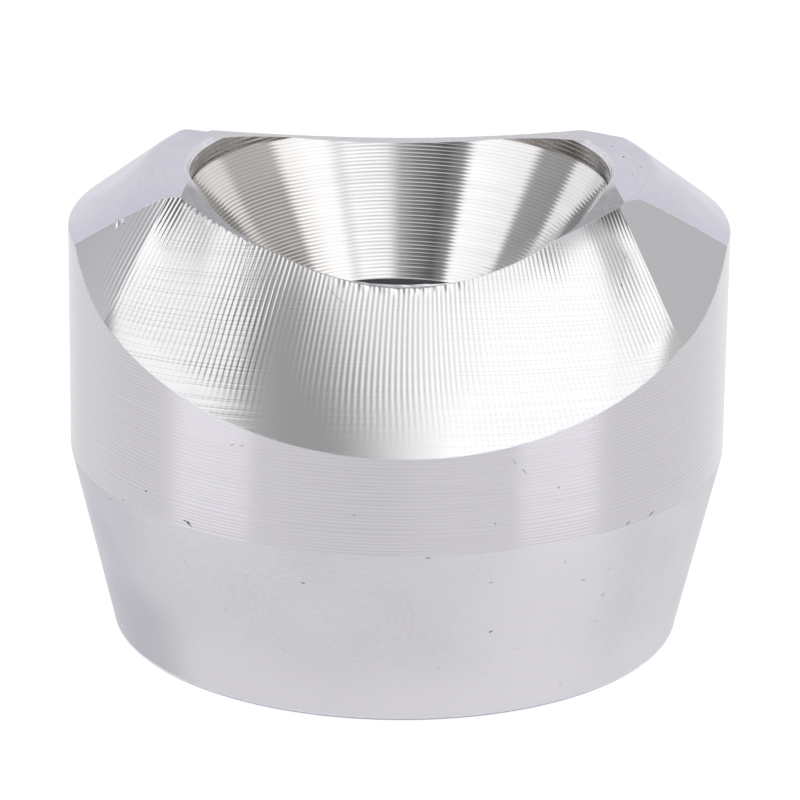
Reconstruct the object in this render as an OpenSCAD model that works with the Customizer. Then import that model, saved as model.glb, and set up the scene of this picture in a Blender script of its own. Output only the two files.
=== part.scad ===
// Branch outlet fitting, one turned and milled piece of stainless steel.
// It stands on its branch end with the run-pipe saddle upward.
// Units are millimetres, +Z is up, the run pipe lies along Y.

/* [Turned outside] */
// diameter of the straight band
band_d = 54; // [52:0.5:58]
// diameter of the branch-end face, where the lower taper ends
foot_d = 47; // [44:0.5:49]
// small edge break round the branch-end face
foot_edge = 0.4; // [0.2:0.1:0.8]
// height at which the lower taper meets the straight band
kink_z = 15.5; // [14:0.5:17]
// height at which the band meets the sloping shoulder
band_top_z = 34.2; // [33.6:0.1:34.8]
// slope of the shoulder above the horizontal
shoulder_deg = 37; // [35:0.5:39]

// height of the turned land round the mouth, which is the top of the fitting
land_z = 39; // [38.8:0.1:39.4]

/* [Run pipe saddle] */
// radius of the run pipe the saddle fits
saddle_r = 36.5; // [34:0.5:42]
// height of the lowest line of the saddle, on the bore axis
heel_z = 35; // [34.6:0.1:35.4]
// how far the saddle was cut out of level, lower at the front
saddle_tilt = 3.4; // [2.5:0.1:4]

/* [Weld bevels] */
// height of the lower edge of the front bevel at mid width
bevel_low_z = 23.5; // [22:0.1:25]
// how steeply the lower edge climbs round the band
bevel_low_rise = 0.455; // [0.4:0.005:0.5]
// distance of the bevel's upper edge from the axis at mid width
bevel_in = 15; // [14.4:0.1:15.6]
// height of the bevel's upper edge at mid width
bevel_top_z = 33.6; // [33:0.1:34.2]
// half width of the curved part of the bevel at its upper edge, on the left
bevel_half_w = 18.6; // [18.2:0.1:19]
// the same on the right, where the bevel is a little narrower
bevel_half_w_right = 17.2; // [17:0.1:17.5]
// height of the lower edge of the rear bevel at mid width
rear_low_z = 27.6; // [26.5:0.1:28.5]
// distance of the rear bevel's upper edge from the axis at mid width
rear_in = 17.9; // [17.6:0.1:18.2]
// height of the rear bevel's upper edge at mid width
rear_top_z = 36; // [35.8:0.1:36.2]

/* [Inlet] */
// radius of the short straight wall at the mouth
mouth_r = 17.1; // [16.6:0.1:17.6]
// height of the lower end of the straight wall
mouth_z = 36.95; // [36.7:0.05:37.2]
// small edge break round the mouth, where the land is whole
mouth_edge = 0.45; // [0.2:0.05:0.6]
// half angle of the inlet cone
cone_deg = 31; // [29:0.5:33]
// radius of the throat below the cone
throat_r = 10.45; // [10:0.05:11]

/* [Branch socket] */
// radius of the pipe socket in the branch end
socket_r = 13.6; // [13:0.1:14.5]
// depth of the pipe socket
socket_depth = 12.7; // [11:0.1:14]

/* [Hidden] */
$fn = 128;
band_r = band_d / 2;
foot_r = foot_d / 2;
land_r = band_r - (land_z - band_top_z) / tan(shoulder_deg);
cone_z = mouth_z - (mouth_r - throat_r) / tan(cone_deg);
// azimuth of the low end of the bevel's last straight line, left and right
last_az = [61, 55.5];
steps = 12;
reach = 0.35;
// one bevel: distance in, corners' distances, upper height, upper rise, lower height, lower rise,
// azimuths where its flat ends meet the top of the band, half widths of its curved part,
// how soon its upper edge swings back on the way out
front_b = [bevel_in, [bevel_in - 6, bevel_in - 4.8], bevel_top_z, 5.3, bevel_low_z, bevel_low_rise,
           [76, 77.3], [bevel_half_w, bevel_half_w_right], [1, 1.8]];
rear_b = [rear_in, [rear_in - 8.5, rear_in - 8.9], rear_top_z, 3.05, rear_low_z, 0.145,
          [61.5, 68.7], [15.9, 17.7], [1, 1]];

// Points of a bevel for s from -1 (left) to 1 (right): upper edge, lower edge.
function ease(q) = (pow(q * q + 0.25, 0.8) - pow(0.25, 0.8)) / (pow(1.25, 0.8) - pow(0.25, 0.8));
function side(s) = s < 0 ? 0 : 1;
function up(b, s) = let (q = 1.15 * abs(s) - 0.15 * pow(abs(s), 3))
    [sign(s) * b[7][side(s)] * q, -b[0] + (b[0] - b[1][side(s)]) * (1 - pow(max(0, 1 - q * q), b[8][side(s)])),
     b[2] + b[3] * ease(q)];
function dn(b, s) = let (a = last_az[side(s)] * abs(s))
    [sign(s) * band_r * sin(a), -band_r * cos(a), b[4] + b[5] * band_r * (1 - cos(a))];
function flat_to(b, g) = [g * band_r * sin(b[6][side(g)]), -band_r * cos(b[6][side(g)]), band_top_z];
function out_of(b, g) = 1.6 * (flat_to(b, g) - (up(b, g) + dn(b, g)) / 2);
function up_x(b, s) = up(b, s) + reach * (up(b, s) - dn(b, s));
function dn_x(b, s) = dn(b, s) - reach * (up(b, s) - dn(b, s));
function lift(p) = [p[0], p[1], 60];

// Turned blank: lower taper, straight band, shoulder, land.
module blank() {
    rotate_extrude()
        polygon([[0, 0], [foot_r - foot_edge, 0], [foot_r, foot_edge], [band_r, kink_z],
                 [band_r, band_top_z], [land_r, land_z], [0, land_z]]);
}

// Cylinder of the run pipe, along Y.
module run_pipe() {
    translate([0, 0, heel_z]) rotate([saddle_tilt, 0, 0]) translate([0, 0, saddle_r]) rotate([90, 0, 0])
        cylinder(h = 120, r = saddle_r, center = true, $fn = 256);
}

// Space above one weld bevel: a warped face swept by straight lines, with flat ends.
module bevel_space(b) {
    n = 2 * steps + 3;
    inner = concat([up_x(b, -1) + out_of(b, -1)], [for (i = [-steps : steps]) up_x(b, i / steps)], [up_x(b, 1) + out_of(b, 1)]);
    outer = concat([dn_x(b, -1) + out_of(b, -1)], [for (i = [-steps : steps]) dn_x(b, i / steps)], [dn_x(b, 1) + out_of(b, 1)]);
    pts = concat(inner, outer, [for (p = inner) lift(p)], [for (p = outer) lift(p)]);
    m = n - 1;
    polyhedron(points = pts, convexity = 6, faces = concat(
        [for (i = [0 : m - 1]) [i, n + i, n + i + 1]],
        [for (i = [0 : m - 1]) [i, n + i + 1, i + 1]],
        [for (i = [0 : m - 1]) [2 * n + i, 2 * n + i + 1, 3 * n + i + 1, 3 * n + i]],
        [for (i = [0 : m - 1]) [i, i + 1, 2 * n + i + 1, 2 * n + i]],
        [for (i = [0 : m - 1]) [n + i, 3 * n + i, 3 * n + i + 1, n + i + 1]],
        [[0, 2 * n, 3 * n, n]],
        [[n + m, 3 * n + m, 2 * n + m, m]]));
}

// Waterway: straight mouth, inlet cone, throat and pipe socket.
module waterway() {
    rotate_extrude()
        polygon([[0, -1], [socket_r, -1], [socket_r, socket_depth], [throat_r, socket_depth],
                 [throat_r, cone_z], [mouth_r, mouth_z],
                 [mouth_r, land_z - mouth_edge], [mouth_r + mouth_edge + 1, land_z + 1], [0, land_z + 1]]);
}

module outlet_body() {
    color([0.78, 0.78, 0.8])
    difference() {
        blank();
        run_pipe();
        bevel_space(front_b);
        mirror([0, 1, 0]) bevel_space(rear_b);
        waterway();
    }
}

outlet_body();
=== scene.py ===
import math

import bpy
import numpy as np
from mathutils import Matrix


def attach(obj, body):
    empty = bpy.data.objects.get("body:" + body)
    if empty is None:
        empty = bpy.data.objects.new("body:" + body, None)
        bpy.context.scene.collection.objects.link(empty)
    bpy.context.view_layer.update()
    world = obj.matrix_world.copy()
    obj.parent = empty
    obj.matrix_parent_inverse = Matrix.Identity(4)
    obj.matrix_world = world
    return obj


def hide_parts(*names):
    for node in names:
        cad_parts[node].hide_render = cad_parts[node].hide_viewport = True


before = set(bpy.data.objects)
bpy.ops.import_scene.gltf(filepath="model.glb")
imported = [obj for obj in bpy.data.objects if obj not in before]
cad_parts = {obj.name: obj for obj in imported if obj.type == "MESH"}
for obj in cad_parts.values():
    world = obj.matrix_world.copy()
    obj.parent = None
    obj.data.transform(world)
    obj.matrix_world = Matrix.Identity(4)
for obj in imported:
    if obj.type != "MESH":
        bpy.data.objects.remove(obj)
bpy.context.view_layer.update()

MM = 0.001

# ---------------------------------------------------------------- sizes, in mm
BAND_R, FOOT_R, FOOT_EDGE = 27.0, 23.5, 0.4
KINK_Z, BAND_TOP, SHOULDER = 15.5, 34.2, math.radians(37)
SADDLE_R, HEEL, TILT = 36.5, 35.0, math.radians(3.4)
MOUTH_R, MOUTH_Z, MOUTH_EDGE, CONE = 17.1, 36.95, 0.45, math.radians(31)
THROAT_R, SOCKET_R, SOCKET_D = 10.45, 13.6, 12.7
CONE_Z = MOUTH_Z - (MOUTH_R - THROAT_R) / math.tan(CONE)
# left and right: azimuth of the warped face's last straight line
LAST_AZ, REACH = (math.radians(61), math.radians(55.5)), 0.35
# one bevel: distance in, corners' distances, upper height, upper rise, lower height, lower rise, azimuths of the flats' far ends,
# half widths of the warped face at its top, how soon its upper edge swings back on the way out
FRONT_B = (15.0, (9.0, 10.2), 33.6, 5.3, 23.5, 0.455, (math.radians(76), math.radians(77.3)), (18.6, 17.2), (1.0, 1.8))
REAR_B = (17.9, (9.4, 9.0), 36.0, 3.05, 27.6, 0.145, (math.radians(61.5), math.radians(68.7)), (15.9, 17.7), (1.0, 1.0))
LAND_Z = 39.0
LAND_R = BAND_R - (LAND_Z - BAND_TOP) / math.tan(SHOULDER)
TAPER = (BAND_R - FOOT_R) / (KINK_Z - FOOT_EDGE)


# ---------------------------------------------------------------- camera
def make_camera():
    e, d, f = math.radians(22.22), 400.0, 4752.0
    roll, u0, v0, yaw = math.radians(0.69), 397.27, 609.87, math.radians(1.15)
    c = np.array([0.0, -math.cos(e), math.sin(e)]) * d
    fwd = -c / d
    right = np.array([1.0, 0.0, 0.0])
    up = np.cross(right, fwd)
    pan, tilt = math.atan2(400 - u0, f), math.atan2(400 - v0, f)
    rc = math.cos(pan) * right - math.sin(pan) * fwd
    f2 = math.sin(pan) * right + math.cos(pan) * fwd
    uc = math.cos(tilt) * up + math.sin(tilt) * f2
    fc = -math.sin(tilt) * up + math.cos(tilt) * f2
    rf = math.cos(roll) * rc + math.sin(roll) * uc
    uf = math.cos(roll) * uc - math.sin(roll) * rc
    cy, sy = math.cos(-yaw), math.sin(-yaw)
    rz = np.array([[cy, -sy, 0], [sy, cy, 0], [0, 0, 1]])
    c, rf, uf, fc = rz @ c, rz @ rf, rz @ uf, rz @ fc
    cam = bpy.data.cameras.new("camera")
    cam.sensor_fit, cam.sensor_width = "HORIZONTAL", 36.0
    cam.lens = 36.0 * f / 800.0
    cam.clip_start, cam.clip_end = 0.01, 20.0
    o = bpy.data.objects.new("camera", cam)
    bpy.context.collection.objects.link(o)
    o.matrix_world = Matrix([[rf[0], uf[0], -fc[0], c[0] * MM], [rf[1], uf[1], -fc[1], c[1] * MM],
                             [rf[2], uf[2], -fc[2], c[2] * MM], [0, 0, 0, 1]])
    bpy.context.scene.camera = o


make_camera()


# ---------------------------------------------------------------- mesh helpers
def new_mesh_object(name, verts, faces, region):
    me = bpy.data.meshes.new(name)
    me.from_pydata([tuple(map(float, v)) for v in verts], [], [tuple(int(i) for i in f) for f in faces])
    me.update()
    a = me.attributes.new("reg", "INT", "FACE")
    a.data.foreach_set("value", np.full(len(me.polygons), region, dtype=np.int32))
    o = bpy.data.objects.new(name, me)
    bpy.context.collection.objects.link(o)
    return o


def revolve(profile, n, name, region):
    """Closed solid of revolution about Z from a profile that starts and ends on the axis."""
    prof = np.asarray(profile, float)
    inner = prof[1:-1]
    a = np.arange(n) * 2 * math.pi / n
    verts = [(0.0, 0.0, prof[0][1])]
    for r, z in inner:
        verts += list(zip(r * np.sin(a), -r * np.cos(a), np.full(n, z)))
    verts.append((0.0, 0.0, prof[-1][1]))
    faces, m = [], len(inner)
    for j in range(n):
        k = (j + 1) % n
        faces.append((0, 1 + k, 1 + j))
        for i in range(m - 1):
            b = 1 + i * n
            faces.append((b + j, b + k, b + n + k, b + n + j))
        b = 1 + (m - 1) * n
        faces.append((len(verts) - 1, b + j, b + k))
    return new_mesh_object(name, verts, faces, region)


def value_noise(x, seed):
    """Smooth 1-D noise with unit spacing, from -1 to 1."""
    k = np.floor(x).astype(int)
    f = x - k
    f = f * f * (3 - 2 * f)

    def h(i):
        v = np.sin(i * 127.1 + seed * 311.7) * 43758.5453
        return (v - np.floor(v)) * 2 - 1
    return h(k) * (1 - f) + h(k + 1) * f


# ---------------------------------------------------------------- weld bevels
# Points of a weld bevel, for s from -1 (left) to 1 (right) and t from 0 (low) to 1 (top).
def up_pt(b, s):
    q = 1.15 * np.abs(s) - 0.15 * np.abs(s) ** 3
    g = ((q * q + 0.25) ** 0.8 - 0.25 ** 0.8) / (1.25 ** 0.8 - 0.25 ** 0.8)
    hw = np.where(s < 0, b[7][0], b[7][1])
    far = np.where(s < 0, b[1][0], b[1][1])
    soon = np.where(s < 0, b[8][0], b[8][1])
    back = np.where(soon == 1.0, q * q, 1 - np.maximum(1 - q * q, 0.0) ** soon)
    return np.stack([np.sign(s) * hw * q, -b[0] + (b[0] - far) * back, b[2] + b[3] * g], -1)


def dn_pt(b, s):
    a = np.where(s < 0, LAST_AZ[0], LAST_AZ[1]) * np.abs(s)
    return np.stack([np.sign(s) * BAND_R * np.sin(a), -BAND_R * np.cos(a), b[4] + b[5] * BAND_R * (1 - np.cos(a))], -1)


def out_of(b, g):
    a = b[6][0 if g < 0 else 1]
    p = np.array([g * BAND_R * math.sin(a), -BAND_R * math.cos(a), BAND_TOP])
    return 1.6 * (p - (up_pt(b, np.array(float(g))) + dn_pt(b, np.array(float(g)))) / 2)


def bevel_pt(b, s, t):
    d, u = dn_pt(b, s), up_pt(b, s)
    return d + t[..., None] * (u - d)


def bevel_normal(b, s, t):
    h = 1e-4
    e = bevel_pt(b, s + h, t) - bevel_pt(b, s - h, t)
    f = bevel_pt(b, s, t + h) - bevel_pt(b, s, t - h)
    n = np.cross(e, f)
    n /= np.linalg.norm(n, axis=-1, keepdims=True)
    return n * np.sign(n[..., 2:3])


FAN = 0.55


def bend(t):
    """How far the cutter's fan lines swing to the right at the top and the bottom of the face."""
    hi = 0.4 * (np.clip(t - 0.38, 0, 1) / 0.62) ** 2
    lo = 0.75 * (np.clip(0.38 - t, 0, 0.4) / 0.31) ** 2
    return hi + lo


def chatter(s, t, edge=None):
    """Height of the cutter's marks on the bevel, in mm: ridges that run up the face, and a torn top edge."""
    u = s * 30.0
    w = (u - bend(t)) / FAN + 0.25 * value_noise(u / 2.7, 3)
    amp = 0.0044 * (0.85 + 0.25 * value_noise(u / 2.3, 5)) * (1 + 0.9 * np.clip((np.abs(s) - 0.8) / 0.2, 0, 1))
    amp = amp * (1 + 2.6 * np.exp(-((s + 0.56) / 0.14) ** 4)) * (1 - 0.25 * np.exp(-(s / 0.35) ** 4))
    z = amp * np.cos(2 * math.pi * w)
    fade = np.clip((t - 0.10) / 0.14, 0, 1)
    if edge is None:
        return z * fade
    near_top = np.clip((t - edge + 0.035) / 0.02, 0, 1)
    left = np.clip((-0.42 - s) / 0.12, 0, 1)
    mid = np.clip((0.3 - np.abs(s)) / 0.1, 0, 1)
    torn = (0.6 * value_noise(u / 0.33, 21) + 0.6 * value_noise(u / 0.9, 22)) * (0.02 * left + 0.03 * mid)
    return z * fade + torn * near_top


def bevel_cutter(name, region, b, rear):
    if rear:
        s = np.linspace(-1, 1, 281)
        t = np.linspace(-REACH, 1 + REACH, 9)
        offs = np.array([1.0])
    else:
        s = np.linspace(-1, 1, 901)
        t = np.concatenate([np.linspace(-REACH, -0.02, 3), np.linspace(0.04, 0.84, 10), np.linspace(0.87, 1.1, 13), [1 + REACH]])
        offs = np.concatenate([np.arange(1, 46) * 0.06, [1e9]])
    sg, tg = np.meshgrid(s, t, indexing="ij")
    edge = None
    if not rear:
        few = np.linspace(-0.95, 0.95, 77)
        edge = np.interp(sg, few, top_t(b, few))
    p = bevel_pt(b, sg, tg) + bevel_normal(b, sg, tg) * chatter(sg, tg, edge)[..., None]
    sides = []
    for g in (-1, 1):
        o = out_of(b, g)
        ln = np.linalg.norm(o)
        e = bevel_pt(b, np.full(len(t), float(g)), t)
        nrm = np.cross(o, up_pt(b, np.array(float(g))) - dn_pt(b, np.array(float(g))))
        nrm = nrm / np.linalg.norm(nrm)
        nrm = nrm * np.sign(nrm[2])
        rows = []
        for d in offs:
            d = ln if rear else min(d, ln)
            h = 0.0 if d >= ln else 0.0058 * math.exp(-d / 0.9)
            wave = np.cos(2 * math.pi * ((30.0 + d * 1.25 - g * bend(t)) / FAN)) * np.clip((t - 0.10) / 0.14, 0, 1)
            rows.append(e + o * (d / ln) + nrm * (h * wave)[:, None])
        sides.append(np.array(rows))
    p = np.concatenate([sides[0][::-1], p, sides[1]], 0)
    if rear:
        p = p * np.array([1, -1, 1])
    n0, n1 = p.shape[:2]
    low = p.reshape(-1, 3)
    high = low.copy()
    high[:, 2] = 60.0
    verts = np.concatenate([low, high])
    idx = np.arange(n0 * n1).reshape(n0, n1)
    top = idx + n0 * n1
    faces = []
    for i in range(n0 - 1):
        for j in range(n1 - 1):
            faces.append((idx[i, j], idx[i, j + 1], idx[i + 1, j + 1], idx[i + 1, j]))
            faces.append((top[i, j], top[i + 1, j], top[i + 1, j + 1], top[i, j + 1]))
        faces.append((idx[i, 0], idx[i + 1, 0], top[i + 1, 0], top[i, 0]))
        faces.append((idx[i, -1], top[i, -1], top[i + 1, -1], idx[i + 1, -1]))
    for j in range(n1 - 1):
        faces.append((idx[0, j], top[0, j], top[0, j + 1], idx[0, j + 1]))
        faces.append((idx[-1, j], idx[-1, j + 1], top[-1, j + 1], top[-1, j]))
    if rear:
        faces = [f[::-1] for f in faces]
    return new_mesh_object(name, verts, faces, region)


# ---------------------------------------------------------------- saddle and waterway
def saddle_z(x, y):
    zl = SADDLE_R - np.sqrt(SADDLE_R ** 2 - np.minimum(np.abs(x), 30.0) ** 2)
    return HEEL + (y + zl * math.sin(TILT)) * math.tan(TILT) + zl * math.cos(TILT)


def saddle_cutter():
    a = np.linspace(-math.radians(50), math.radians(50), 181)
    x, z = SADDLE_R * np.sin(a), SADDLE_R * (1 - np.cos(a))
    n = len(x)
    rows = []
    for y in (-34.0, 34.0):
        rows += [(i, y * math.cos(TILT) - k * math.sin(TILT), HEEL + y * math.sin(TILT) + k * math.cos(TILT)) for i, k in zip(x, z)]
    verts = rows + [(i, j, 60.0) for i, j, _ in rows]
    faces = []
    for i in range(n - 1):
        faces.append((i, n + i, n + i + 1, i + 1))
        faces.append((2 * n + i, 2 * n + i + 1, 3 * n + i + 1, 3 * n + i))
        faces.append((i, i + 1, 2 * n + i + 1, 2 * n + i))
        faces.append((n + i, 3 * n + i, 3 * n + i + 1, n + i + 1))
    faces.append((0, 2 * n, 3 * n, n))
    faces.append((n - 1, 2 * n - 1, 4 * n - 1, 3 * n - 1))
    return new_mesh_object("saddle_space", verts, faces, 2)


def groove(x, pitch, depth, seed):
    """Depth of turning grooves along a profile: round-bottomed, with sharp ridges between."""
    w = x / pitch
    k = np.floor(w)
    f = w - k - 0.5
    v = np.sin(k * 91.7 + seed) * 4375.85
    vary = 0.8 + 0.4 * (v - np.floor(v))
    return depth * vary * (1 - 4 * f * f)


def bore_cutter():
    pts = [(0, -1.0), (SOCKET_R, -1.0), (SOCKET_R, SOCKET_D), (THROAT_R, SOCKET_D), (THROAT_R, CONE_Z)]
    length = (MOUTH_R - THROAT_R) / math.sin(CONE)
    pitch = 0.32
    x = np.arange(pitch / 5, length - 0.02, pitch / 5)
    g = groove(x, pitch, 0.009, 1.3)
    for a, b in zip(x, g):
        pts.append((THROAT_R + a * math.sin(CONE) + b * math.cos(CONE), CONE_Z + a * math.cos(CONE) - b * math.sin(CONE)))
    pts.append((MOUTH_R, MOUTH_Z))
    top = LAND_Z - MOUTH_EDGE
    zz = np.arange(0.06, top - MOUTH_Z, 0.07)
    for a, b in zip(zz, groove(zz, 0.4, 0.014, 4.1)):
        pts.append((MOUTH_R + b, MOUTH_Z + a))
    # rounded lip with two small steps
    for q, d in ((0.0, 0.0), (0.25, 0.03), (0.42, 0.10), (0.5, 0.06), (0.72, 0.10), (0.8, 0.05), (1.0, 0.02)):
        pts.append((MOUTH_R + MOUTH_EDGE * q - d * 0.5, top + MOUTH_EDGE * q + d * 0.5))
    pts += [(MOUTH_R + MOUTH_EDGE + 1, LAND_Z + 1), (0, LAND_Z + 1)]
    return revolve(pts, 200, "waterway_space", 5)


def bore_r(z):
    return np.where(z < MOUTH_Z, THROAT_R + np.maximum(z - CONE_Z, 0) * math.tan(CONE), MOUTH_R + np.maximum(z - LAND_Z + MOUTH_EDGE, 0))


def taper_r(z):
    return np.where(z < KINK_Z, FOOT_R + TAPER * (z - FOOT_EDGE), BAND_R)


def blank_profile():
    pts = [(0, 0), (FOOT_R - FOOT_EDGE, 0), (FOOT_R - 0.24, 0.05), (FOOT_R - 0.07, 0.21), (FOOT_R + 0.01, FOOT_EDGE)]
    for z in np.linspace(1.2, KINK_Z - 0.2, 9):
        pts.append((FOOT_R + TAPER * (z - FOOT_EDGE), z))
    pts.append((BAND_R - 0.012, KINK_Z))
    for z in np.linspace(KINK_Z + 0.15, BAND_TOP - 0.05, 10):
        pts.append((BAND_R, z))
    pts.append((BAND_R - 0.02, BAND_TOP + 0.0))
    for q in np.linspace(0.03, 0.92, 8):
        pts.append((BAND_R - (BAND_R - LAND_R) * q, BAND_TOP + (LAND_Z - BAND_TOP) * q))
    pts += [(LAND_R + 0.15, LAND_Z - 0.14), (LAND_R - 0.2, LAND_Z - 0.05), (LAND_R - 0.6, LAND_Z - 0.01), (LAND_R - 1.1, LAND_Z),
            (LAND_R - 1.9, LAND_Z), (LAND_R - 2.7, LAND_Z), (0, LAND_Z)]
    return pts


# ---------------------------------------------------------------- burrs and nicks
def tube(path, radius, name, region, sides=6):
    """Closed tube along a path, thin at both ends."""
    path, radius = np.asarray(path), np.asarray(radius)
    n = len(path)
    tan = np.gradient(path, axis=0)
    tan /= np.linalg.norm(tan, axis=1, keepdims=True)
    ref = np.cross(tan, np.array([0.0, 0.0, 1.0]))
    ref /= np.linalg.norm(ref, axis=1, keepdims=True)
    oth = np.cross(tan, ref)
    a = np.arange(sides) * 2 * math.pi / sides
    verts = [path[0] - tan[0] * radius[0]]
    for i in range(n):
        verts += list(path[i] + radius[i] * (np.cos(a)[:, None] * ref[i] + np.sin(a)[:, None] * oth[i]))
    verts.append(path[-1] + tan[-1] * radius[-1])
    faces = []
    for j in range(sides):
        k = (j + 1) % sides
        faces.append((0, 1 + k, 1 + j))
        for i in range(n - 1):
            b = 1 + i * sides
            faces.append((b + j, b + k, b + sides + k, b + sides + j))
        b = 1 + (n - 1) * sides
        faces.append((len(verts) - 1, b + j, b + k))
    return new_mesh_object(name, verts, faces, region)


def flat_plane(b, g):
    l1, t1 = dn_pt(b, np.array(float(g))), up_pt(b, np.array(float(g)))
    n = np.cross(out_of(b, g), t1 - l1)
    return l1, n / np.linalg.norm(n)


def low_edge(b, g_first=-1):
    """Lower edge of the front bevel with its flats, from left to right, on the band."""
    pts = []
    for g, rev in ((-1, True), (1, False)):
        l1, n = flat_plane(b, g)
        part = []
        for a in np.linspace(LAST_AZ[0 if g < 0 else 1], b[6][0 if g < 0 else 1] - 0.01, 60):
            x, y = g * BAND_R * math.sin(a), -BAND_R * math.cos(a)
            part.append((x, y, l1[2] - (n[0] * (x - l1[0]) + n[1] * (y - l1[1])) / n[2]))
        if g < 0:
            pts = part[::-1] + [tuple(q) for q in dn_pt(b, np.linspace(-0.995, 0.995, 420))]
        else:
            pts += part
    return np.array(pts)


def top_t(b, s):
    """t of the front bevel's upper edge at each s, where the face runs out at the saddle, the land or the bore."""
    out = []
    for x in s:
        sv = np.array([x])
        inside = lambda t: _in_solid(bevel_pt(b, sv, np.array([t]))[0])
        t = 0.6
        while t < 1.3 and inside(t):
            t += 0.01
        lo, hi = t - 0.01, t
        for _ in range(16):
            m = (lo + hi) / 2
            lo, hi = (m, hi) if inside(m) else (lo, m)
        out.append(lo)
    return np.array(out)


def _in_solid(p):
    x, y, z = p
    return z < min(float(saddle_z(x, y)), LAND_Z) and math.hypot(x, y) > float(bore_r(z))


def crease(b, g):
    """Edge between a flat and the shoulder, from the band up."""
    l1, n = flat_plane(b, g)
    pts = []
    for r in np.linspace(BAND_R - 0.05, LAND_R + 0.2, 120):
        z = BAND_TOP + (BAND_R - r) * math.tan(SHOULDER)
        lo, hi = math.radians(40), math.radians(110)
        f = lambda a: n @ (np.array([g * r * math.sin(a), -r * math.cos(a), z]) - l1)
        if f(lo) * f(hi) > 0:
            break
        for _ in range(40):
            m = (lo + hi) / 2
            lo, hi = (m, hi) if f(lo) * f(m) > 0 else (lo, m)
        pts.append((g * r * math.sin(lo), -r * math.cos(lo), z))
    return np.array(pts)


def spindle(c, d, nrm, length, width, depth, name, region):
    """Small lens-shaped body along d, for one nick or one flake."""
    d = d / np.linalg.norm(d)
    nrm = nrm - d * (nrm @ d)
    nrm /= np.linalg.norm(nrm)
    w = np.cross(d, nrm)
    verts = [c - d * length / 2]
    rows = (-0.6, -0.2, 0.25, 0.65)
    a = np.arange(6) * math.pi / 3
    for q in rows:
        k = math.sqrt(1 - q * q)
        verts += [c + d * length / 2 * q + w * width / 2 * k * math.cos(x) + nrm * depth * k * math.sin(x) for x in a]
    verts.append(c + d * length / 2)
    faces = []
    for j in range(6):
        k = (j + 1) % 6
        faces.append((0, 1 + k, 1 + j))
        for i in range(len(rows) - 1):
            b = 1 + i * 6
            faces.append((b + j, b + k, b + 6 + k, b + 6 + j))
        b = 1 + (len(rows) - 1) * 6
        faces.append((len(verts) - 1, b + j, b + k))
    return verts, faces


def merge(parts, name, region):
    verts, faces = [], []
    for v, f in parts:
        faces += [tuple(i + len(verts) for i in q) for q in f]
        verts += list(v)
    return new_mesh_object(name, verts, faces, region)


# nicks on the turned outside: azimuth, height, slant from level in degrees, length, width
NICKS = [(16.3, 8.1, 25, 0.5, 0.24), (15.3, 12.7, 12, 0.55, 0.14), (39.1, 9.5, 40, 0.6, 0.18),
         (39.2, 11.9, 30, 0.3, 0.13), (33.6, 11.5, 5, 0.6, 0.12), (47.6, 15.8, 18, 0.9, 0.15), (41.7, 15.73, 25, 0.55, 0.16),
         (26.8, 20.2, 60, 0.24, 0.2), (58.7, 14.9, 0, 0.26, 0.16), (32.7, 1.96, -70, 0.5, 0.12), (4.2, 15.34, 10, 0.5, 0.2),
         (15.5, 17.9, 0, 0.24, 0.14), (44.5, 3.3, 35, 0.3, 0.13), (38.6, 7.1, 0, 0.26, 0.14), (-63.4, 19.5, 0, 0.4, 0.12),
         (-59.6, 15.05, 70, 0.32, 0.2), (-65.2, 13.8, 0, 0.28, 0.2), (-55.0, 15.7, 80, 0.26, 0.14), (-63.7, 11.8, 30, 0.26, 0.16),
         (-48.4, 17.4, 20, 0.26, 0.16), (-38.9, 16.05, 2, 0.7, 0.12), (-40.6, 12.2, -50, 0.5, 0.12),
         (-27.9, 12.4, 0, 0.3, 0.12), (-17.0, 12.5, -20, 0.45, 0.15), (-27.6, 23.5, 25, 0.6, 0.15), (-29.4, 23.4, 30, 0.4, 0.12),
         (18.6, 22.9, -55, 0.9, 0.1), (20.4, 22.0, -50, 0.7, 0.1), (21.5, 6.2, 20, 0.3, 0.11), (-8.0, 18.8, 0, 0.3, 0.1),
         (29.0, 13.6, 0, 0.3, 0.1), (-22.0, 6.0, -35, 0.5, 0.1), (7.0, 5.0, 0, 0.3, 0.1), (-33.0, 8.6, -25, 0.4, 0.1)]


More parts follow.
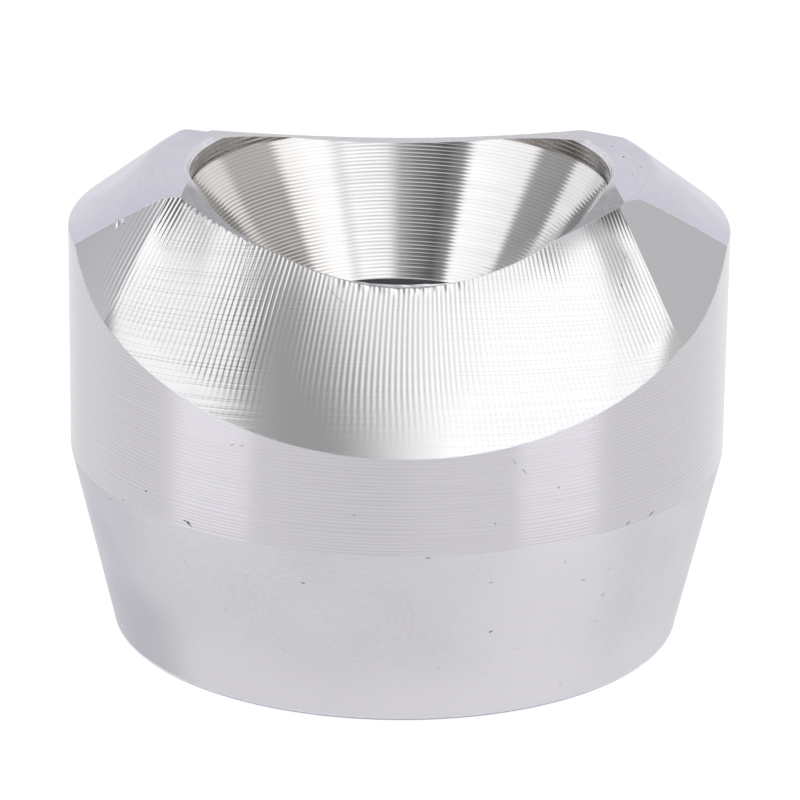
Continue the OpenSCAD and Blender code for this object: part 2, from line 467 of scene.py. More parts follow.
def nick_cutter():
    parts = []
    for az, z, slant, length, width in NICKS:
        a, k = math.radians(az), math.radians(slant)
        r = float(taper_r(np.array(z)))
        c = np.array([r * math.sin(a), -r * math.cos(a), z])
        nrm = np.array([math.sin(a), -math.cos(a), 0.0])
        d = math.cos(k) * np.array([math.cos(a), math.sin(a), 0.0]) + math.sin(k) * np.array([0, 0, 1.0])
        parts.append(spindle(c, d, nrm, length * 0.95, width * 0.95, 0.035, "", 12))
    # specks on the land and the shoulder
    for az, r, size in ((98.8, 18.6, 0.3), (90.0, 19.6, 0.32), (83.2, 18.9, 0.2), (75.6, 21.4, 0.24), (108.2, 18.5, 0.2), (-96.0, 24.6, 0.2),
                        (-80.0, 21.4, 0.24), (83.6, 23.8, 0.18)):
        a = math.radians(az)
        flat = r < LAND_R - 0.2
        c = np.array([r * math.sin(a), -r * math.cos(a), LAND_Z if flat else BAND_TOP + (BAND_R - r) * math.tan(SHOULDER)])
        nrm = np.array([0, 0, 1.0]) if flat else np.array([math.sin(a) * math.sin(SHOULDER), -math.cos(a) * math.sin(SHOULDER), math.cos(SHOULDER)])
        parts.append(spindle(c, np.array([math.cos(a), math.sin(a), 0.0]), nrm, size, size * 0.6, 0.04, "", 12))
    # scratch down the right end of the bevel, and a few fine ones
    for (s0, t0), (s1, t1), width in (((0.905, 0.66), (0.886, 0.622), 0.2), ((0.884, 0.618), (0.866, 0.582), 0.24), ((0.864, 0.578), (0.846, 0.542), 0.2),
                                      ((0.844, 0.538), (0.826, 0.50), 0.14), ((0.93, 0.71), (0.92, 0.685), 0.18), ((-0.27, 0.93), (-0.2, 0.86), 0.07),
                                      ((-0.985, 0.80), (-0.975, 0.85), 0.16)):
        q = bevel_pt(FRONT_B, np.array([s0, s1]), np.array([t0, t1]))
        nrm = bevel_normal(FRONT_B, np.array([(s0 + s1) / 2]), np.array([(t0 + t1) / 2]))[0]
        parts.append(spindle(q.mean(0), q[1] - q[0], nrm, float(np.linalg.norm(q[1] - q[0])), width, 0.05, "", 12))
    # chips along the left half of the bevel's upper edge, most of them at the corner
    s = np.array([-0.955, -0.925, -0.895, -0.872, -0.845, -0.815, -0.79, -0.76, -0.735, -0.70, -0.67, -0.645, -0.61, -0.585, -0.55])
    size = np.array([0.30, 0.42, 0.5, 0.36, 0.52, 0.34, 0.24, 0.36, 0.22, 0.4, 0.26, 0.34, 0.2, 0.3, 0.22])
    t = top_t(FRONT_B, s)
    q = bevel_pt(FRONT_B, s, t - 0.004)
    away = bevel_pt(FRONT_B, s, t - 0.1) - q
    nrm = bevel_normal(FRONT_B, s, t)
    for i in range(len(s)):
        d = away[i] / np.linalg.norm(away[i]) + 0.25 * math.sin(7.3 * i) * np.array([1.0, 0.3, 0.0])
        parts.append(spindle(q[i], d, nrm[i], size[i] * 1.3, size[i] * 0.75, 0.075, "", 12))
    return merge(parts, "nick_space", 12)


def burr_tubes():
    tools = []
    p = low_edge(FRONT_B)
    ln = np.concatenate([[0], np.cumsum(np.linalg.norm(np.diff(p, axis=0), axis=1))])
    r = 0.040 + 0.018 * value_noise(ln / 0.4, 31) + 0.055 * np.clip(value_noise(ln / 0.7, 32) - 0.55, 0, 1) / 0.45
    rad = np.hypot(p[:, 0], p[:, 1])
    c = p.copy()
    c[:, :2] *= ((BAND_R - r * 1.05) / rad)[:, None]
    tools.append(tube(c, r, "low_edge_burr", 11))
    s = np.concatenate([np.linspace(-0.93, -0.3, 150), np.linspace(-0.295, 0.3, 260), np.linspace(0.305, 0.86, 130)])
    p = bevel_pt(FRONT_B, s, top_t(FRONT_B, s))
    u = s * 30
    lip = np.exp(-((s + 0.0) / 0.17) ** 4)
    r = (0.028 + 0.105 * lip) * (0.9 + 0.2 * value_noise(u / 0.9, 41)) + 0.03 * np.clip(value_noise(u / 0.35, 42), 0, 1) * np.clip((-0.2 - s) / 0.1, 0, 1)
    p[:, 2] += (0.3 + 0.3 * lip) * r
    tools.append(tube(p, r, "rim_burr", 11))
    for g, nm in ((-1, "left"), (1, "right")):
        p = crease(FRONT_B, g)
        w = np.arange(len(p)) * 0.09
        r = 0.024 + 0.012 * value_noise(w / 0.3, 51 + g)
        p[:, 2] -= 0.2 * r
        tools.append(tube(p[3:-4], r[3:-4], nm + "_crease_burr", 11))
    # loose flakes hanging on the edges
    parts = []
    p = crease(FRONT_B, -1)
    _, n = flat_plane(FRONT_B, -1)
    n = n * np.sign(n[2])
    for k, ln, w, lift in ((60, 1.0, 0.26, 0.11), (67, 0.7, 0.2, 0.09)):
        d = np.array([0.16, -0.35, -0.92])
        d = d - n * (n @ d) * 0.85
        parts.append(spindle(p[k] + n * lift + d * ln * 0.4, d, n, ln, w, 0.13, "", 11))
    for s0, ln in ((-0.62, 0.5), (-0.3, 0.42), (0.72, 0.4), (0.82, 0.5), (0.64, 0.4), (-0.81, 0.45), (-0.12, 0.3)):
        q = dn_pt(FRONT_B, np.array([s0]))[0]
        nn = bevel_normal(FRONT_B, np.array([s0]), np.array([0.05]))[0]
        d = np.array([0.5, 0.2, 0.7])
        parts.append(spindle(q * np.array([0.985, 0.985, 1]) + np.array([0, 0, 0.12]), d, nn, ln, 0.14, 0.09, "", 11))
    tools.append(merge(parts, "flakes", 11))
    return tools


def cut_body():
    body = revolve(blank_profile(), 240, "outlet_visual", 0)
    cuts = [saddle_cutter(), bevel_cutter("front_bevel_space", 3, FRONT_B, False), bevel_cutter("rear_bevel_space", 4, REAR_B, True), bore_cutter()]
    steps = [("DIFFERENCE", t) for t in cuts] + [("UNION", t) for t in burr_tubes()] + [("DIFFERENCE", nick_cutter())]
    for i, (op, t) in enumerate(steps):
        m = body.modifiers.new("cut%d" % i, "BOOLEAN")
        m.operation, m.solver, m.object = op, "MANIFOLD", t
    dg = bpy.context.evaluated_depsgraph_get()
    me = bpy.data.meshes.new_from_object(body.evaluated_get(dg), depsgraph=dg)
    body.modifiers.clear()
    old = body.data
    body.data = me
    bpy.data.meshes.remove(old)
    for _, t in steps:
        tm = t.data
        bpy.data.objects.remove(t)
        bpy.data.meshes.remove(tm)
    return body


body = cut_body()
me = body.data
print("body tris", sum(len(p.vertices) - 2 for p in me.polygons), "attrs", [a.name for a in me.attributes])


# ---------------------------------------------------------------- regions, sharp edges and surface coordinates
def bevel_param(p, b, rear):
    """(s, t) of points on the bevel, by a few Newton steps on the warped face."""
    q = p.copy()
    if rear:
        q = q * np.array([1, -1, 1])
    s = np.clip(q[:, 0] / 22.0, -1, 1)
    s = np.where(np.abs(s) < 1e-3, 1e-3, s)
    t = np.full(len(q), 0.5)
    for _ in range(14):
        h = 1e-4
        r = q - bevel_pt(b, s, t)
        e = (bevel_pt(b, s + h, t) - bevel_pt(b, s - h, t)) / (2 * h)
        f = (bevel_pt(b, s, t + h) - bevel_pt(b, s, t - h)) / (2 * h)
        ee, ef, ff = (e * e).sum(1), (e * f).sum(1), (f * f).sum(1)
        re, rf = (r * e).sum(1), (r * f).sum(1)
        det = ee * ff - ef * ef + 1e-9
        ds, dt = (ff * re - ef * rf) / det, (ee * rf - ef * re) / det
        s = np.clip(s + np.clip(ds, -0.15, 0.15), -1.6, 1.6)
        s = np.where(np.abs(s) < 1e-3, 1e-3, s)
        t = np.clip(t + np.clip(dt, -0.3, 0.3), -0.5, 1.6)
    return s, t


def finish_mesh(me):
    np_ = len(me.polygons)
    reg = np.zeros(np_, dtype=np.int32)
    me.attributes["reg"].data.foreach_get("value", reg)
    nv = len(me.vertices)
    co = np.zeros(nv * 3)
    me.vertices.foreach_get("co", co)
    co = co.reshape(-1, 3)
    lt = np.zeros(np_, dtype=np.int32)
    me.polygons.foreach_get("loop_total", lt)
    lv = np.zeros(len(me.loops), dtype=np.int32)
    me.loops.foreach_get("vertex_index", lv)
    cen = np.zeros(np_ * 3)
    me.polygons.foreach_get("center", cen)
    cen = cen.reshape(-1, 3)
    nor = np.zeros(np_ * 3)
    me.polygons.foreach_get("normal", nor)
    nor = nor.reshape(-1, 3)
    # split the turned outside and the waterway into their own surfaces
    sub = reg.copy()
    outer = reg == 0
    sub[outer & (cen[:, 2] < KINK_Z)] = 13
    sub[outer & (cen[:, 2] > BAND_TOP + 0.01)] = 1
    # painted highlight: the foot's rounded edge takes the brighter lip colour
    sub[outer & (cen[:, 2] < FOOT_EDGE)] = 14
    # painted shade: the lowest strip of the foot takes a bluish dark colour
    sub[outer & (cen[:, 2] < 0.2)] = 15
    sub[outer & (nor[:, 2] < -0.97)] = 7
    sub[outer & (nor[:, 2] > 0.9)] = 10
    bore = reg == 5
    sub[bore & (cen[:, 2] < CONE_Z - 0.005)] = 6
    sub[bore & (cen[:, 2] > MOUTH_Z) & (np.hypot(cen[:, 0], cen[:, 1]) > MOUTH_R - 0.02)] = 8
    sub[bore & (cen[:, 2] > LAND_Z - MOUTH_EDGE)] = 14
    flat = np.zeros(np_, dtype=bool)
    for g, b, rear in ((3, FRONT_B, False), (4, REAR_B, True)):
        m = reg == g
        s, t = bevel_param(cen[m], b, rear)
        f = np.zeros(np_, dtype=bool)
        f[np.where(m)[0]] = np.abs(s) > 1.0005
        flat |= f
    sub[flat] = 9
    lp = np.repeat(np.arange(np_), lt)
    # sharp wherever two surfaces meet, save where they run into one another
    join = np.arange(16)
    join[10], join[9], join[4] = 1, 3, 3
    le = np.zeros(len(me.loops), dtype=np.int32)
    me.loops.foreach_get("edge_index", le)
    lo, hi = np.full(len(me.edges), 99, np.int32), np.full(len(me.edges), -1, np.int32)
    np.minimum.at(lo, le, join[sub[lp]])
    np.maximum.at(hi, le, join[sub[lp]])
    sharp = lo != hi
    fn_lo = np.zeros((len(me.edges), 3))
    fn_lo[le] = nor[lp]
    first = np.full(len(me.edges), -1)
    first[le[::-1]] = lp[::-1]
    fn_hi = nor[np.maximum(first, 0)]
    ang = (fn_lo * fn_hi).sum(1)
    sharp |= ang < math.cos(math.radians(38))
    me.polygons.foreach_set("use_smooth", np.ones(np_, dtype=bool))
    a = me.attributes.get("sharp_edge") or me.attributes.new("sharp_edge", "BOOLEAN", "EDGE")
    a.data.foreach_set("value", sharp)
    # surface coordinates: u along the cutter's path and v across it, both in mm, and how far up the front bevel
    p = co[lv]
    lsub = sub[lp]
    th = np.arctan2(p[:, 0], -p[:, 1])
    mid = np.arctan2(cen[:, 0], -cen[:, 1])[lp]
    th = np.where(th - mid > math.pi, th - 2 * math.pi, np.where(th - mid < -math.pi, th + 2 * math.pi, th))
    r = np.hypot(p[:, 0], p[:, 1])
    u, v, w = th * BAND_R, p[:, 2].copy(), np.zeros(len(p))
    rad = np.stack([np.sin(th), -np.cos(th), np.zeros_like(th)], -1)
    across = np.tile(np.array([0.0, 0.0, 1.0]), (len(p), 1))
    m = lsub == 1
    v[m] = (BAND_R - r[m]) / math.cos(SHOULDER)
    across[m] = -rad[m] * math.cos(SHOULDER) + np.array([0, 0, math.sin(SHOULDER)])
    m = lsub == 2
    u[m], v[m] = p[m, 1], p[m, 0]
    across[m] = np.array([0, 1.0, 0])
    m = (lsub == 5)
    v[m] = (r[m] - THROAT_R) / math.sin(CONE)
    u[m] = th[m] * 14.0
    across[m] = rad[m] * math.sin(CONE) + np.array([0, 0, math.cos(CONE)])
    m = lsub == 10
    v[m] = (BAND_R - r[m]) / math.cos(SHOULDER)
    across[m] = -rad[m]
    m = lsub == 7
    v[m] = r[m]
    across[m] = rad[m]
    for g, b, rear in ((3, FRONT_B, False), (4, REAR_B, True)):
        m = reg[lp] == g
        s, t = bevel_param(p[m], b, rear)
        u[m] = s * 30.0
        w[m] = t if not rear else 0.5
        d = up_pt(b, s) - dn_pt(b, s)
        v[m] = t * np.linalg.norm(d, axis=1)
        if rear:
            d = d * np.array([1, -1, 1])
        across[m] = d / np.linalg.norm(d, axis=1, keepdims=True)
    surf = np.stack([u, v, w], -1)
    a = me.attributes.new("surf", "FLOAT_VECTOR", "CORNER")
    a.data.foreach_set("vector", surf.astype(np.float32).ravel())
    a = me.attributes.new("across", "FLOAT_VECTOR", "CORNER")
    a.data.foreach_set("vector", across.astype(np.float32).ravel())
    return sub


sub = finish_mesh(me)


# ---------------------------------------------------------------- materials
class Nodes:
    """Small helper that builds a node tree."""

    def __init__(self, name):
        self.mat = bpy.data.materials.new(name)
        self.mat.use_nodes = True
        self.t = self.mat.node_tree
        self.t.nodes.clear()
        self.out = self.t.nodes.new("ShaderNodeOutputMaterial")
        self.bsdf = self.t.nodes.new("ShaderNodeBsdfPrincipled")
        self.t.links.new(self.bsdf.outputs[0], self.out.inputs[0])

    def node(self, kind, **props):
        n = self.t.nodes.new(kind)
        for k, v in props.items():
            setattr(n, k, v)
        return n

    def link(self, a, b):
        self.t.links.new(a, b)

    def put(self, sock, v):
        if hasattr(v, "is_linked") or hasattr(v, "links"):
            self.link(v, sock)
        else:
            sock.default_value = v

    def math(self, op, a, b=0.0, c=0.0, clamp=False):
        n = self.node("ShaderNodeMath", operation=op, use_clamp=clamp)
        for s, v in zip(n.inputs, (a, b, c)):
            self.put(s, v)
        return n.outputs[0]

    def vmath(self, op, a, b=None, scale=None):
        n = self.node("ShaderNodeVectorMath", operation=op)
        self.put(n.inputs[0], a)
        if b is not None:
            self.put(n.inputs[1], b)
        if scale is not None:
            self.put(n.inputs["Scale"], scale)
        return n.outputs[0]

    def attr(self, name):
        return self.node("ShaderNodeAttribute", attribute_name=name).outputs["Vector"]

    def split(self, v):
        n = self.node("ShaderNodeSeparateXYZ")
        self.link(v, n.inputs[0])
        return n.outputs

    def vec(self, x, y, z):
        n = self.node("ShaderNodeCombineXYZ")
        for s, v in zip(n.inputs, (x, y, z)):
            self.put(s, v)
        return n.outputs[0]

    def noise(self, v, scale=1.0, detail=2.0, rough=0.5, dim="3D"):
        n = self.node("ShaderNodeTexNoise", noise_dimensions=dim)
        if dim == "1D":
            self.link(v, n.inputs["W"])
        else:
            self.link(v, n.inputs["Vector"])
        n.inputs["Scale"].default_value = scale
        n.inputs["Detail"].default_value = detail
        n.inputs["Roughness"].default_value = rough
        return n.outputs[0]

    def wave(self, x, pitch, phase=0.0):
        return self.math("SINE", self.math("MULTIPLY_ADD", x, 2 * math.pi / pitch, phase))

    def ramp(self, v, a, b, lo=0.0, hi=1.0):
        n = self.node("ShaderNodeMapRange", clamp=True, interpolation_type="SMOOTHSTEP")
        self.put(n.inputs[0], v)
        for i, x in enumerate((a, b, lo, hi)):
            self.put(n.inputs[i + 1], x)
        return n.outputs[0]

    def mix(self, f, a, b):
        n = self.node("ShaderNodeMix", data_type="RGBA")
        self.put(n.inputs[0], f)
        for i, v in ((6, a), (7, b)):
            if isinstance(v, tuple):
                n.inputs[i].default_value = (*v, 1.0)
            else:
                self.link(v, n.inputs[i])
        return n.outputs[2]

    def height(self):
        """Height of the point above the floor, in mm."""
        g = self.node("ShaderNodeTexCoord")
        return self.math("MULTIPLY", self.split(g.outputs["Object"])[2], 1000.0)

    def lean(self, slopes):
        """Shading normal tipped by fine cut lines: slopes is a list of (slope, direction)."""
        n = self.node("ShaderNodeNewGeometry").outputs["Normal"]
        for s, d in slopes:
            n = self.vmath("ADD", n, self.vmath("SCALE", d, scale=s))
        self.link(self.vmath("NORMALIZE", n), self.bsdf.inputs["Normal"])

    def finish(self, color, rough, aniso):
        self.link(color, self.bsdf.inputs["Base Color"])
        self.put(self.bsdf.inputs["Roughness"], rough)
        self.bsdf.inputs["Metallic"].default_value = 1.0
        self.bsdf.inputs["Anisotropic"].default_value = aniso
        self.link(self.attr("across"), self.bsdf.inputs["Tangent"])
        return self.mat


OUT = (0.600, 0.588, 0.622)
OUT_D = (0.570, 0.558, 0.594)
CUT = (0.63, 0.627, 0.632)
CUT_D = (0.60, 0.597, 0.602)


def turned_band():
    k = Nodes("steel_band")
    u, v, _ = k.split(k.attr("surf"))
    wob = k.math("MULTIPLY", k.noise(v, 0.8, 1.0, 0.5, "1D"), 5.0)
    vary = k.noise(k.vec(k.math("MULTIPLY", u, 0.05), k.math("MULTIPLY", v, 0.6), 0.0), 1.0, 2.0)
    lines = k.math("MULTIPLY", k.wave(v, 0.30, wob), k.ramp(vary, 0.25, 0.75, 0.13, 0.18))
    fine = k.math("MULTIPLY_ADD", k.noise(v, 9.0, 1.0, 0.5, "1D"), 0.08, -0.04)
    k.lean([(k.math("ADD", lines, fine), k.attr("across"))])
    streak = k.noise(k.vec(k.math("MULTIPLY", u, 0.10), k.math("MULTIPLY", v, 4.0), 0.0), 1.0, 3.0, 0.6)
    col = k.mix(k.ramp(streak, 0.3, 0.7), (0.562, 0.549, 0.584), (0.546, 0.533, 0.568))
    col = k.mix(k.ramp(k.wave(v, 0.30, wob), 0.1, 0.9, 0.0, 0.16), col, (0.36, 0.35, 0.375))
    # painted shade: the band's colour is darker towards its left side
    col = k.mix(k.math("MULTIPLY", k.ramp(u, -36.0, -28.0, 0.4, 0.0), k.ramp(u, -64.0, -46.0)), col, (0.38, 0.37, 0.42))
    return k.finish(col, k.ramp(streak, 0.3, 0.7, 0.24, 0.26), 0.8)


def turned_taper():
    k = Nodes("steel_taper")
    u, v, _ = k.split(k.attr("surf"))
    fine = k.math("MULTIPLY_ADD", k.noise(v, 7.0, 1.0, 0.5, "1D"), 0.10, -0.05)
    k.lean([(fine, k.attr("across"))])
    pos = k.vec(u, v, 0.0)
    cloud = k.noise(pos, 0.16, 3.0, 0.55)
    col = k.mix(k.ramp(cloud, 0.3, 0.7), (0.592, 0.580, 0.614), (0.580, 0.568, 0.602))
    grain = k.noise(k.vec(k.math("MULTIPLY", u, 1.2), k.math("MULTIPLY", v, 4.0), 0.0), 1.0, 3.0, 0.65)
    col = k.mix(k.ramp(grain, 0.4, 0.72, 0.0, 0.22), col, (0.44, 0.43, 0.455))
    # painted light and shade: brighter low down as a painted reflection, darker towards both sides but not round the
    # back as painted shade
    left, right = k.ramp(u, -64.0, -46.0), k.ramp(u, 46.0, 64.0, 1.0, 0.0)
    col = k.mix(k.ramp(v, 1.0, 8.0, 0.8, 0.0), col, (0.640, 0.626, 0.660))
    # painted highlight in a band right of the middle
    col = k.mix(k.math("MULTIPLY", k.ramp(u, 2.0, 12.0), k.ramp(u, 15.0, 22.0, 0.6, 0.0)), col, (0.660, 0.646, 0.680))
    # painted shade low on the left and towards both sides
    low = k.math("MULTIPLY", k.ramp(u, -26.0, -19.0, 0.55, 0.0), k.ramp(v, 4.5, 9.0, 1.0, 0.0))
    col = k.mix(k.math("MULTIPLY", low, left), col, (0.40, 0.395, 0.43))
    col = k.mix(k.math("MULTIPLY", k.ramp(u, 24.0, 37.0, 0.0, 0.5), right), col, (0.40, 0.395, 0.45))
    col = k.mix(k.math("MULTIPLY", k.ramp(u, -37.0, -20.0, 0.8, 0.0), left), col, (0.36, 0.355, 0.425))
    # faint rings worn into the surface left of the middle
    d = k.vmath("LENGTH", k.vmath("MULTIPLY", k.vmath("ADD", pos, (6.5, -9.5, 0.0)), (0.72, 1.0, 0.0)))
    n = d.node
    ring = k.wave(n.outputs["Value"], 0.5, k.math("MULTIPLY", cloud, 6.0))
    fade = k.math("MULTIPLY", k.ramp(n.outputs["Value"], 1.5, 4.0, 0.0, 0.08), k.ramp(n.outputs["Value"], 4.5, 9.0, 1.0, 0.0))
    col = k.mix(k.math("MULTIPLY", k.math("MULTIPLY_ADD", ring, 0.5, 0.5), fade), col, (0.42, 0.41, 0.43))
    streak = k.noise(k.vec(k.math("MULTIPLY", u, 0.10), k.math("MULTIPLY", v, 1.9), 0.0), 1.0, 3.0, 0.6)
    col = k.mix(k.ramp(streak, 0.62, 0.74, 0.0, 0.08), col, (0.45, 0.44, 0.46))
    return k.finish(col, k.ramp(cloud, 0.3, 0.7, 0.31, 0.36), 0.75)


def turned_shoulder():
    k = Nodes("steel_shoulder")
    u, v, _ = k.split(k.attr("surf"))
    fine = k.math("ADD", k.math("MULTIPLY_ADD", k.noise(v, 6.0, 1.0, 0.5, "1D"), 0.10, -0.05), k.math("MULTIPLY", k.wave(v, 0.33), 0.018))
    k.lean([(fine, k.attr("across"))])
    cloud = k.noise(k.vec(u, v, 0.0), 0.3, 3.0, 0.55)
    col = k.mix(k.ramp(cloud, 0.3, 0.7), (0.566, 0.553, 0.638), (0.548, 0.535, 0.618))
    ring = k.noise(v, 1.6, 2.0, 0.6, "1D")
    col = k.mix(k.ramp(ring, 0.62, 0.75, 0.0, 0.22), col, (0.44, 0.43, 0.47))
    spot = k.noise(k.vec(u, v, 0.0), 1.1, 2.0, 0.6)
    col = k.mix(k.ramp(spot, 0.72, 0.78, 0.0, 0.6), col, (0.25, 0.24, 0.27))
    return k.finish(col, k.ramp(cloud, 0.3, 0.7, 0.30, 0.35), 0.7)


def saddle_land():
    k = Nodes("steel_saddle")
    u, v, _ = k.split(k.attr("surf"))
    pos = k.vec(u, v, 0.0)
    grain = k.noise(pos, 1.4, 3.0, 0.6)
    light = k.mix(k.ramp(grain, 0.3, 0.7), OUT, OUT_D)
    # painted shade: a darker copy of the land's tone, used towards the front
    dark = k.mix(k.ramp(grain, 0.3, 0.7), (0.345, 0.34, 0.37), (0.31, 0.305, 0.335))
    col = k.mix(k.ramp(u, -6.5, -4.0), dark, light)
    return k.finish(col, k.ramp(grain, 0.3, 0.7, 0.30, 0.38), 0.3)


def cut_bevel():
    k = Nodes("steel_bevel")
    u, v, up = k.split(k.attr("surf"))
    z = k.height()
    drift = k.noise(k.vec(k.math("MULTIPLY", u, 0.25), k.math("MULTIPLY", z, 0.25), 0.0), 1.0, 1.0)
    zz = k.math("MULTIPLY_ADD", drift, 0.12, z)
    rows = k.noise(zz, 9.0, 0.0, 0.5, "1D")
    slow = k.noise(zz, 1.5, 1.0, 0.5, "1D")
    lean = k.math("MULTIPLY_ADD", rows, 0.016, -0.008)
    k.lean([(lean, k.attr("across"))])
    # feed lines, strongest on the left third
    left = k.math("MULTIPLY", k.ramp(u, -29.5, -27.0), k.ramp(u, -18.0, -11.0, 1.0, 0.0))
    much = k.math("MULTIPLY_ADD", left, 0.36, 0.08)
    lines = k.math("MULTIPLY", k.ramp(rows, 0.48, 0.70), k.ramp(slow, 0.35, 0.65, 0.35, 1.0))
    fan = k.math("MULTIPLY_ADD", k.wave(k.math("ADD", u, k.math("MULTIPLY", drift, 0.3)), FAN), 0.5, 0.5)
    lines = k.math("MULTIPLY", lines, k.ramp(fan, 0.0, 1.0, 0.45, 1.0))
    col = k.mix(k.math("MULTIPLY", lines, much), CUT, (0.22, 0.22, 0.225))
    # grey lines up the face on the left, fine dots where both kinds of line cross on the right
    upward = k.math("MULTIPLY", k.ramp(fan, 0.62, 0.95), k.ramp(up, 0.10, 0.22))
    strong = k.math("MULTIPLY", k.ramp(u, -21.5, -18.5), k.ramp(u, -14.5, -12.0, 1.0, 0.0))
    strong = k.math("MAXIMUM", strong, k.ramp(u, 21.0, 27.0, 0.0, 0.9))
    col = k.mix(k.math("MULTIPLY", upward, k.math("MULTIPLY_ADD", strong, 0.45, k.math("MULTIPLY", left, 0.24))), col, (0.17, 0.17, 0.175))
    right = k.math("MULTIPLY", k.ramp(u, 3.0, 9.0), k.ramp(u, 26.0, 29.0, 1.0, 0.0))
    cross = k.math("MULTIPLY", k.ramp(fan, 0.35, 0.9), k.ramp(rows, 0.45, 0.62))
    col = k.mix(k.math("MULTIPLY", cross, k.math("MULTIPLY", right, 0.13)), col, (0.22, 0.22, 0.225))
    # dull run-out along the upper edge on the right
    dull = k.math("MULTIPLY", k.ramp(up, 0.84, 0.99), k.ramp(u, 14.5, 21.0))
    col = k.mix(k.math("MULTIPLY", dull, 0.8), col, (0.33, 0.33, 0.34))
    return k.finish(col, k.ramp(rows, 0.2, 0.8, 0.09, 0.12), 0.35)


def cut_flat():
    k = Nodes("steel_bevel_flat")
    u, v, _ = k.split(k.attr("surf"))
    g = k.node("ShaderNodeTexCoord").outputs["Object"]
    cloud = k.noise(g, 120.0, 2.0, 0.5)
    col = k.mix(k.ramp(cloud, 0.3, 0.7), (0.622, 0.613, 0.640), (0.606, 0.597, 0.624))
    spot = k.noise(g, 900.0, 1.0, 0.5)
    col = k.mix(k.ramp(spot, 0.80, 0.84, 0.0, 0.5), col, (0.9, 0.9, 0.9))
    return k.finish(col, k.ramp(cloud, 0.3, 0.7, 0.15, 0.17), 0.2)


def turned_bore():
    k = Nodes("steel_bore")
    u, v, _ = k.split(k.attr("surf"))
    fine = k.math("MULTIPLY_ADD", k.noise(v, 14.0, 1.0, 0.5, "1D"), 0.05, -0.025)
    k.lean([(fine, k.attr("across"))])
    cloud = k.noise(k.vec(k.math("MULTIPLY", u, 0.06), v, 0.0), 1.5, 2.0, 0.5)
    col = k.mix(k.ramp(cloud, 0.3, 0.7), CUT, (0.60, 0.592, 0.590))
    # thin dark line along each ridge; a warmer left side with stronger lines, painted reflection stripes: painted shade
    # beside each ridge and, lower down, a painted highlight in each groove
    part = k.math("ABSOLUTE", k.math("SUBTRACT", k.math("FRACT", k.math("MULTIPLY", v, 1 / 0.32)), 0.5))
    ridge = k.ramp(part, 0.36, 0.48)
    side = k.math("MULTIPLY", k.ramp(u, -37.5, -34.5), k.ramp(u, -22.0, -18.0, 1.0, 0.0))
    col = k.mix(k.math("MULTIPLY", side, 0.8), col, (0.58, 0.548, 0.530))
    col = k.mix(k.math("MULTIPLY", ridge, k.math("MULTIPLY_ADD", side, 0.25, 0.22)), col, (0.20, 0.19, 0.185))
    low = k.math("MULTIPLY", side, k.ramp(v, 8.5, 11.0, 1.0, 0.0))
    col = k.mix(k.math("MULTIPLY", k.ramp(part, 0.14, 0.36), k.math("MULTIPLY", low, 0.6)), col, (0.27, 0.25, 0.24))
    col = k.mix(k.math("MULTIPLY", k.ramp(part, 0.06, 0.22, 1.0, 0.0), k.math("MULTIPLY", low, 0.5)), col, (0.86, 0.79, 0.76))
    # painted shade beside each ridge on the back wall
    back = k.ramp(k.math("ABSOLUTE", u), 38.5, 40.0)
    col = k.mix(k.math("MULTIPLY", k.ramp(part, 0.20, 0.42), k.math("MULTIPLY", back, 0.24)), col, (0.20, 0.195, 0.195))
    return k.finish(col, k.ramp(cloud, 0.3, 0.7, 0.07, 0.10), 0.3)


def mouth_wall():
    k = Nodes("steel_mouth")
    u, v, _ = k.split(k.attr("surf"))
    cloud = k.noise(k.vec(k.math("MULTIPLY", u, 0.06), v, 0.0), 2.5, 2.0, 0.5)
    col = k.mix(k.ramp(cloud, 0.3, 0.7), (0.56, 0.535, 0.52), (0.50, 0.475, 0.46))
    return k.finish(col, k.ramp(cloud, 0.3, 0.7, 0.14, 0.18), 0.3)


def plain(name, a, b, rough, scale):
    k = Nodes(name)
    g = k.node("ShaderNodeTexCoord").outputs["Object"]
    n = k.noise(g, scale, 2.0, 0.55)
    return k.finish(k.mix(k.ramp(n, 0.3, 0.7), a, b), k.ramp(n, 0.3, 0.7, rough, rough * 1.2), 0.0)


mats = {
    "band": turned_band(), "taper": turned_taper(), "shoulder": turned_shoulder(), "land": saddle_land(), "bevel": cut_bevel(), "flat": cut_flat(),
    "bore": turned_bore(), "wall": mouth_wall(),
    "hidden": plain("steel_branch_end", CUT_D, OUT_D, 0.34, 900.0),
    # the lip colour is the mouth lip's own colour and a painted highlight on the foot's rounded edge
    "lip": plain("steel_lip_and_foot_highlight", (0.66, 0.65, 0.70), (0.60, 0.59, 0.63), 0.26, 1500.0),
    "burr": plain("steel_burr", (0.70, 0.69, 0.73), (0.58, 0.57, 0.61), 0.28, 1500.0),
    # painted shade: nicks, specks and chips are given a dark colour
    "nick": plain("steel_nick_painted_shade", (0.17, 0.16, 0.175), (0.30, 0.29, 0.31), 0.42, 2500.0),
    # painted shade along the bottom of the foot
    "foot_edge": plain("steel_foot_edge_painted_shade", (0.34, 0.36, 0.46), (0.28, 0.30, 0.40), 0.36, 600.0),
}
order = list(mats)
me.materials.clear()
for n in order:
    me.materials.append(mats[n])
pick = {0: "band", 1: "shoulder", 2: "land", 3: "bevel", 4: "bevel", 5: "bore", 6: "hidden", 7: "hidden", 8: "wall", 9: "flat", 10: "shoulder",
        11: "burr", 12: "nick", 13: "taper", 14: "lip", 15: "foot_edge"}
me.polygons.foreach_set("material_index", np.array([order.index(pick[int(x)]) for x in sub], dtype=np.int32))
me.transform(Matrix.Scale(MM, 4))
me.update()

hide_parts("outlet_body")
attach(body, "root")


